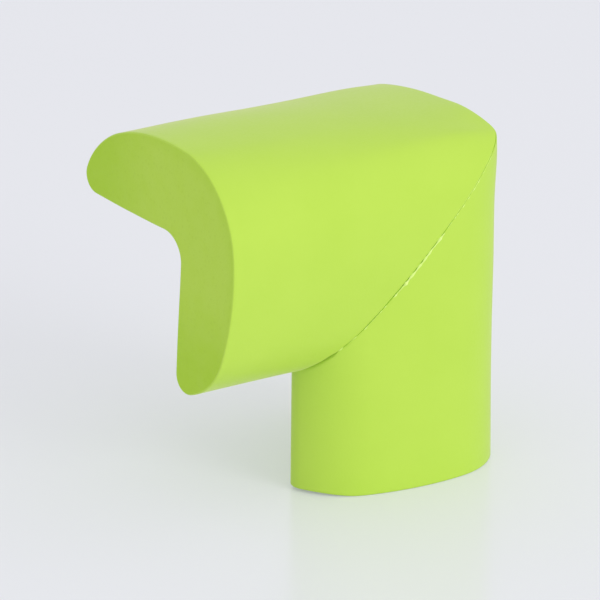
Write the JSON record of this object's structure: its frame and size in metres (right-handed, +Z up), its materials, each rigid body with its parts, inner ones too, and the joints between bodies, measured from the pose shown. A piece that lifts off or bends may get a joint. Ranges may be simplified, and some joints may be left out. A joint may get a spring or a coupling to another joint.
{
  "type": "furniture corner protector",
  "caption": "Soft foam corner cushion of mitred angle strip that sticks over a table corner and covers its top and both edges.",
  "frame": {"origin": "middle of the bounding box at floor height, under the object as it stands on its upright arm", "axes": "+Z up along the upright arm, -X out along the horizontal arm, -Y out of the front flanges, which lie on the furniture's top when in use"},
  "size_m": [0.055, 0.036, 0.055],
  "materials": {
    "foam": "matt closed-cell foam with a smooth skin, lime green",
    "glue": "clear cured glue"
  },
  "bodies": {
    "root": {"horizontal_arm": "foam", "upright_arm": "foam", "mitre_glue": "glue"}
  },
  "joints": []
}
